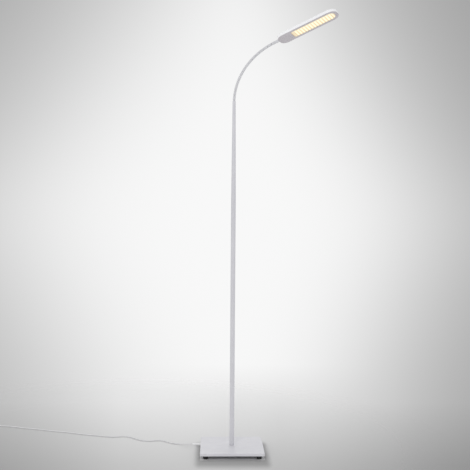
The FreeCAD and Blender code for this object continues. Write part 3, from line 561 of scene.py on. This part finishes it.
sheet_metal = (0.72, 0.73, 0.74)
sheet, tree, shader = start_material("rolled_sheet", sheet_metal, roughness=0.35, Metallic=1.0)
gloss(tree, shader, grain_mm=3, smooth=0.28, dull=0.45)
rolling = noise(tree, grain_mm=1.0, detail=3.0, stretch=(0.04, 1, 1))
relief(tree, shader, rolling, depth_mm=0.03, strength=0.6)
dress(sheet, "heat_spreader")

# %% [markdown]
# ### Metal hardware
#
# Screws, nut, washer and studs are zinc plated: bright, a little blue, with cloudy patches where the
# plating took unevenly. Bushes and plug pins are turned brass. The bushes stand upright, so noise that
# changes ten times faster upwards than sideways gives the fine rings of turning.

# %% Zinc and brass
zinc_cloud = (0.56, 0.58, 0.62)
zinc_middle = (0.64, 0.655, 0.68)
zinc_bright = (0.69, 0.70, 0.70)
zinc, tree, shader = start_material("zinc_plate", zinc_middle, roughness=0.32, Metallic=1.0)
drift(tree, shader, grain_mm=2.5, low=zinc_cloud, high=zinc_bright)
gloss(tree, shader, grain_mm=1.2, smooth=0.24, dull=0.42)
relief(tree, shader, noise(tree, grain_mm=0.5), depth_mm=0.03, strength=0.4)
dress(zinc, "foot_screws", "base_washer", "base_nut", "foot_stud", "joint_stud_1", "joint_stud_2",
      "gland_screw", "board_screws", "clamp_screw")

brass_deep = (0.66, 0.49, 0.23)
brass_middle = (0.72, 0.55, 0.28)
brass_pale = (0.76, 0.60, 0.33)
brass, tree, shader = start_material("turned_brass", brass_middle, roughness=0.28, Metallic=1.0)
drift(tree, shader, grain_mm=4, low=brass_deep, high=brass_pale)
turning = noise(tree, grain_mm=0.6, detail=2.0, stretch=(0.1, 0.1, 1))
relief(tree, shader, turning, depth_mm=0.03, strength=0.5)
dress(brass, "foot_bush", "joint_bush_1_lower", "joint_bush_1_upper", "joint_bush_2_lower",
      "joint_bush_2_upper", "supply_pins")

# %% [markdown]
# ### Touch spot
#
# The lamp is switched and dimmed by touching an inlay on the head's back. It is polished, with a matt
# ring that the finger can find. The ring is a change of polish and not a groove, so the distance from
# the inlay's centre draws it.

# %% Touch inlay
inlay_grey = (0.60, 0.60, 0.63)
ring_grey = (0.36, 0.36, 0.38)
polished = 0.12
matt = 0.6
ring_radius = 0.0045
ring_width = 0.0006
touch, tree, shader = start_material("touch_inlay", inlay_grey, roughness=polished, Coat_Weight=0.5)
touch_low, touch_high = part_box("touch_disc")
touch_centre = (touch_low + touch_high) / 2
from_centre = vector_sums(tree, "DISTANCE", lamp_metres(tree), touch_centre)
from_ring = sums(tree, "ABSOLUTE", sums(tree, "SUBTRACT", from_centre, ring_radius))
on_ring = span(tree, from_ring, ring_width, ring_width / 2)
tree.links.new(mix_color(tree, on_ring, inlay_grey, ring_grey), shader.inputs["Base Color"])
tree.links.new(span(tree, on_ring, 0.0, 1.0, polished, matt), shader.inputs["Roughness"])
dress(touch, "touch_disc")

# %% [markdown]
# ### Rubber feet
#
# The feet are black moulded rubber, never quite black: dust settles in its pores and turns it grey in
# patches. One flat black would look like a hole in the picture, so two near blacks take turns over a
# coarse relief.

# %% Rubber
rubber_black = (0.010, 0.010, 0.011)
rubber_middle = (0.014, 0.014, 0.015)
rubber_dusty = (0.026, 0.026, 0.027)
rubber, tree, shader = start_material("rubber_feet", rubber_middle, roughness=0.8)
drift(tree, shader, grain_mm=3, low=rubber_black, high=rubber_dusty)
relief(tree, shader, noise(tree, grain_mm=0.5, detail=4.0), depth_mm=0.12, strength=0.8)
dress(rubber, "foot_front_left", "foot_front_right", "foot_rear_left", "foot_rear_right")

# %% [markdown]
# ### Sheath and sleeve
#
# The lead's sheath is soft vinyl, off-white, with the very faint unevenness of a skin drawn through a
# die. The gland and the sleeve are moulded in a firmer grade, which comes out a little whiter.

# %% Sheath and sleeve
sheath_low = (0.65, 0.65, 0.66)
sheath_middle = (0.68, 0.68, 0.69)
sheath_high = (0.71, 0.71, 0.715)
sheath, tree, shader = start_material("cord_sheath", sheath_middle, roughness=0.45)
drift(tree, shader, grain_mm=35, low=sheath_low, high=sheath_high)
gloss(tree, shader, grain_mm=10, smooth=0.4, dull=0.55)
relief(tree, shader, noise(tree, grain_mm=0.7, detail=2.0), depth_mm=0.03, strength=0.5)
dress(sheath, "inner_lead", "cable_clips")
lead.data.materials.append(sheath)

sleeve_low = (0.84, 0.84, 0.85)
sleeve_middle = (0.86, 0.86, 0.87)
sleeve_high = (0.88, 0.88, 0.885)
sleeve, tree, shader = start_material("moulded_sleeve", sleeve_middle, roughness=0.45)
drift(tree, shader, grain_mm=12, low=sleeve_low, high=sleeve_high)
relief(tree, shader, noise(tree, grain_mm=0.4, detail=2.0), depth_mm=0.04, strength=0.5)
dress(sleeve, "lead_gland", "strain_relief", "supply_relief")

# %% [markdown]
# ### Supply and strap
#
# The supply's case has a coarser moulded texture, so that it hides fingerprints. A black hook-and-loop
# strap holds the coil; its loops are deep for their width and catch a little light from the side.

# %% Supply and strap
case_low = (0.72, 0.72, 0.73)
case_middle = (0.74, 0.74, 0.75)
case_high = (0.76, 0.76, 0.765)
case, tree, shader = start_material("supply_case", case_middle, roughness=0.5)
drift(tree, shader, grain_mm=30, low=case_low, high=case_high)
gloss(tree, shader, grain_mm=8, smooth=0.45, dull=0.6)
relief(tree, shader, noise(tree, grain_mm=0.45, detail=3.0), depth_mm=0.06, strength=0.8)
dress(case, "supply_lower_case", "supply_upper_case")

strap_black = (0.012, 0.012, 0.013)
strap_middle = (0.02, 0.02, 0.021)
strap_dusty = (0.035, 0.035, 0.036)
strap, tree, shader = start_material("strap_loops", strap_middle, roughness=0.85, Sheen_Weight=0.3)
drift(tree, shader, grain_mm=1.0, low=strap_black, high=strap_dusty)
relief(tree, shader, noise(tree, grain_mm=0.35, detail=3.0), depth_mm=0.2, strength=1.0)
dress(strap, "coil_tie")

# %% [markdown]
# ## Studio
#
# The photograph was taken before a plain sweep of paper: bright behind the lamp, fading to grey at the
# corners and towards the viewer. A curved sheet with lamps round it could make that, but each lamp
# would also change the light on the object. Here the paper's brightness is written down by itself. Wall
# and floor share one falloff of it, so no horizon shows. The falloff is laid out once in the room, as
# directions seen from the photographer's place, and stays in the room when the camera walks round. A
# direction is written as two slopes: to the right and upwards, each over the way ahead.
#
# From its bright middle the paper darkens faster to the right than to the left, and faster upwards than
# downwards; a smooth curve of the summed distance does it.

# %% Brightness of the sweep
sweep_origin = pole_foot + camera_from_pole
sweep_middle = (0.032, 0.028)
reach_left = 0.384
reach_right = 0.297
reach_up = 0.542
reach_down = 0.758
rounding = 0.3
paper_dark = 0.288
paper_gain = 0.651
paper_power = 3.77


def sweep_falloff(tree, slope_x, slope_z):
    """Brightness by the distance from the bright middle, with a reach of its own on each side."""
    x = sums(tree, "SUBTRACT", slope_x, sweep_middle[0])
    z = sums(tree, "SUBTRACT", slope_z, sweep_middle[1])
    to_right = sums(tree, "DIVIDE", x, reach_right)
    to_left = sums(tree, "DIVIDE", x, -reach_left)
    to_top = sums(tree, "DIVIDE", z, reach_up)
    to_bottom = sums(tree, "DIVIDE", z, -reach_down)
    sideways = sums(tree, "SMOOTH_MAX", to_right, to_left, rounding)
    upright = sums(tree, "SMOOTH_MAX", to_top, to_bottom, rounding)
    distance = sums(tree, "ADD", sideways, upright)
    fall = sums(tree, "ADD", 1.0, sums(tree, "POWER", distance, paper_power))
    return sums(tree, "ADD", paper_dark, sums(tree, "DIVIDE", paper_gain, fall))


print("sweep is", round(paper_dark + paper_gain, 3), "bright in its middle,", paper_dark, "far out")

# %% [markdown]
# Towards the viewer the floor darkens once more, and does so sooner straight before the lamp than at
# its sides. Each is one plain fall: full brightness down to a slope, then less and less until another
# slope, below which the floor keeps an even share.

# %% Darkening towards the viewer
dims_before_lamp = 0.17
dims_beside_lamp = 0.22
dimmest_from = 0.305
kept_before_lamp = 0.60
kept_beside_lamp = 0.75
lamp_slope = 0.06
still_before = 0.03
fully_beside = 0.18


def floor_share(tree, slope_x, slope_z):
    """The share of brightness that the floor keeps."""
    depth = sums(tree, "MULTIPLY", slope_z, -1.0)
    before_lamp = span(tree, depth, dims_before_lamp, dimmest_from, 1.0, kept_before_lamp)
    beside_lamp = span(tree, depth, dims_beside_lamp, dimmest_from, 1.0, kept_beside_lamp)
    from_lamp = sums(tree, "ABSOLUTE", sums(tree, "SUBTRACT", slope_x, lamp_slope))
    beside = span(tree, from_lamp, still_before, fully_beside)
    return mix_color(tree, beside, before_lamp, beside_lamp)


# %% [markdown]
# Well outside the picture the room is one even pale grey. The whole brightness is one function of a
# direction, and both the floor and the wall call it.

# %% Brightness in a direction
least_ahead = 0.001
room_grey = 0.76
picture_edge = 0.345
room_edge = 0.55


def paper_grey(tree, direction):
    """Brightness of the paper in a direction away from sweep_origin."""
    split = tree.nodes.new("ShaderNodeSeparateXYZ")
    tree.links.new(direction, split.inputs["Vector"])
    ahead = sums(tree, "MAXIMUM", split.outputs["Y"], least_ahead)
    slope_x = sums(tree, "DIVIDE", split.outputs["X"], ahead)
    slope_z = sums(tree, "DIVIDE", split.outputs["Z"], ahead)
    falloff = sweep_falloff(tree, slope_x, slope_z)
    grey = sums(tree, "MULTIPLY", falloff, floor_share(tree, slope_x, slope_z))
    steepest = sums(tree, "MAXIMUM", sums(tree, "ABSOLUTE", slope_x), sums(tree, "ABSOLUTE", slope_z))
    outside = span(tree, steepest, picture_edge, room_edge)
    return mix_color(tree, outside, grey, (room_grey, room_grey, room_grey))


# %% [markdown]
# Floor and wall are each a mix of shaders: one that the camera sees, one that lights the lamp. Three
# small helpers write such mixes.


# %% Shader helpers
def to_shader(tree, kind, grey):
    """A shader of a kind, its colour a grey."""
    node = tree.nodes.new(kind)
    tree.links.new(grey, node.inputs["Color"])
    return node.outputs[0]


def mix_shader(tree, factor, first, second):
    """First shader at factor 0, second at 1."""
    node = tree.nodes.new("ShaderNodeMixShader")
    tree.links.new(factor, node.inputs["Fac"])
    tree.links.new(first, node.inputs[1])
    tree.links.new(second, node.inputs[2])
    return node.outputs["Shader"]


def rays(tree, *kinds):
    """1 for the named kinds of ray, otherwise 0."""
    path = tree.nodes.new("ShaderNodeLightPath")
    total = path.outputs[kinds[0]]
    for kind in kinds[1:]:
        total = sums(tree, "ADD", total, path.outputs[kind])
    return sums(tree, "MINIMUM", total, 1.0)


# %% [markdown]
# ### Floor
#
# Under the lamp and its lead the floor is real matt paper that takes their soft shadows. Its middle
# lies between the lamp and the far end of the lead.

# %% Floor sheet
floor_reach = 2.4
floor_middle = pole_foot + Vector((-0.38, 0.1, 0))
corner_sides = [(-1, -1), (1, -1), (1, 1), (-1, 1)]
floor_corners = [floor_middle + Vector((x, y, 0)) * floor_reach for x, y in corner_sides]
floor_mesh = bpy.data.meshes.new("floor")
floor_mesh.from_pydata(floor_corners, [], [(0, 1, 2, 3)])
floor = bpy.data.objects.new("floor", floor_mesh)
bpy.context.scene.collection.objects.link(floor)
print("floor reaches", floor_reach, "m from", rounded(floor_middle))

# %% [markdown]
# A lamp that threw the plate's shadow as far to the front as the photograph shows would bleach the
# white shell from behind, so the far part of that shadow is laid into the paper's brightness. It is a
# square as large as the plate, moved a little towards the viewer and blurred more forwards than
# sideways. Under the plate itself it isn't laid: there the light makes the shadow.

# %% Far part of the plate's shadow
plate_side = plate_high.x - plate_low.x
shade_middle = pole_foot + Vector((0, -0.035, 0))
shade_reach = 0.064
shade_depth = 0.38
shade_tightness = 2.5


def past_plate(tree, middle, across_weight=1.0):
    """How far a floor point is outside a square as large as the plate, with a weight on the way across."""
    from_middle = vector_sums(tree, "SUBTRACT", lamp_metres(tree), middle)
    split = tree.nodes.new("ShaderNodeSeparateXYZ")
    tree.links.new(from_middle, split.inputs["Vector"])
    squares = []
    for axis, weight in (("X", across_weight), ("Y", 1.0)):
        past = sums(tree, "SUBTRACT", sums(tree, "ABSOLUTE", split.outputs[axis]), plate_side / 2)
        past = sums(tree, "MULTIPLY", sums(tree, "MAXIMUM", past, 0.0), weight)
        squares.append(sums(tree, "MULTIPLY", past, past))
    return sums(tree, "SQRT", sums(tree, "ADD", *squares))


def laid_shade(tree):
    """How dark the laid-in shadow is at a floor point."""
    past_shade = past_plate(tree, shade_middle, shade_tightness)
    far_shade = span(tree, past_shade, 0.0, shade_reach, shade_depth, 0.0)
    far_shade.node.interpolation_type = "SMOOTHSTEP"
    open_floor = sums(tree, "GREATER_THAN", past_plate(tree, pole_foot), 0.0)
    return sums(tree, "MULTIPLY", far_shade, open_floor)


print("plate is", round(plate_side, 3), "m a side")

# %% [markdown]
# The paper's own colour is its brightness divided by the level of the light on it, so that the two
# together give the brightness wanted. Further out it fades clear into the room behind it, which has the
# same brightness, so the floor has no edge. For light that bounces, the whole floor is pale paper,
# which lights the lamp softly from below.

# %% Floor paper
light_level = 0.97
bounce_grey = (0.85, 0.85, 0.85)
fade_from = 0.66
fade_to = 1.15
floor_paper = bpy.data.materials.new("floor_paper")
floor_paper.use_nodes = True
tree = floor_paper.node_tree
tree.nodes.remove(tree.nodes["Principled BSDF"])
seen_from = vector_sums(tree, "SUBTRACT", lamp_metres(tree), sweep_origin)
grey = mix_color(tree, laid_shade(tree), paper_grey(tree, seen_from), (0.0, 0.0, 0.0))
lit_share = tree.nodes.new("ShaderNodeVectorMath")
lit_share.operation = "SCALE"
lit_share.inputs["Scale"].default_value = 1 / light_level
tree.links.new(grey, lit_share.inputs[0])
matt_paper = to_shader(tree, "ShaderNodeBsdfDiffuse", lit_share.outputs["Vector"])
bounce_paper = tree.nodes.new("ShaderNodeBsdfDiffuse")
bounce_paper.inputs["Color"].default_value = (*bounce_grey, 1)
clear = tree.nodes.new("ShaderNodeBsdfTransparent")
from_middle = vector_sums(tree, "DISTANCE", lamp_metres(tree), floor_middle)
fade = span(tree, from_middle, fade_from, fade_to)
seen_floor = mix_shader(tree, fade, matt_paper, clear.outputs["BSDF"])
floor_look = mix_shader(tree, rays(tree, "Is Camera Ray"), bounce_paper.outputs["BSDF"], seen_floor)
tree.links.new(floor_look, tree.nodes["Material Output"].inputs["Surface"])
floor_mesh.materials.append(floor_paper)
print("floor fades between", fade_from, "and", fade_to, "m from its middle")

# %% [markdown]
# ### Light
#
# The light comes from all round: a soft even room, and a broad glow from the bright sweep behind the
# lamp. The glow lays the plate's shadow towards the viewer and lights both flanks of the pole. The
# camera, and everything glossy or clear, sees the paper itself in the room's place.

# %% Room and glow
room_level = 0.80
glow_level = 1.2
glow_power = 10
glow_height = math.radians(33)
glow_from = (0.0, math.cos(glow_height), math.sin(glow_height))
world = bpy.data.worlds.new("studio")
bpy.context.scene.world = world
world.use_nodes = True
tree = world.node_tree
direction = tree.nodes.new("ShaderNodeTexCoord").outputs["Generated"]
facing = vector_sums(tree, "DOT_PRODUCT", direction, glow_from)
lobe = sums(tree, "POWER", sums(tree, "MAXIMUM", facing, 0.0), glow_power)
room = to_shader(tree, "ShaderNodeBackground", sums(tree, "MULTIPLY_ADD", lobe, glow_level, room_level))
wall = to_shader(tree, "ShaderNodeBackground", paper_grey(tree, direction))
see_wall = rays(tree, "Is Camera Ray", "Is Glossy Ray", "Is Transmission Ray")
tree.links.new(mix_shader(tree, see_wall, room, wall), tree.nodes["World Output"].inputs["Surface"])
print("glow comes from", rounded(glow_from, 3))

# %% [markdown]
# An even room leaves rounded edges flat. One weak, broad lamp hangs high up, to the left of the camera,
# and points at half the lamp's height. It gives the edges a soft highlight.

# %% Key lamp
key_watts = 9.0
key_size = 1.2
key_place = Vector((-0.7, -2.3, 1.9))
key_aim = Vector((0, 0, 0.7))
key_data = bpy.data.lights.new("key", "AREA")
key_data.energy = key_watts
key_data.size = key_size
key = bpy.data.objects.new("key", key_data)
bpy.context.scene.collection.objects.link(key)
key.location = pole_foot + key_place
key.rotation_euler = (pole_foot + key_aim - key.location).to_track_quat("-Z", "Y").to_euler()
print("key lamp at", rounded(key.location, 2))
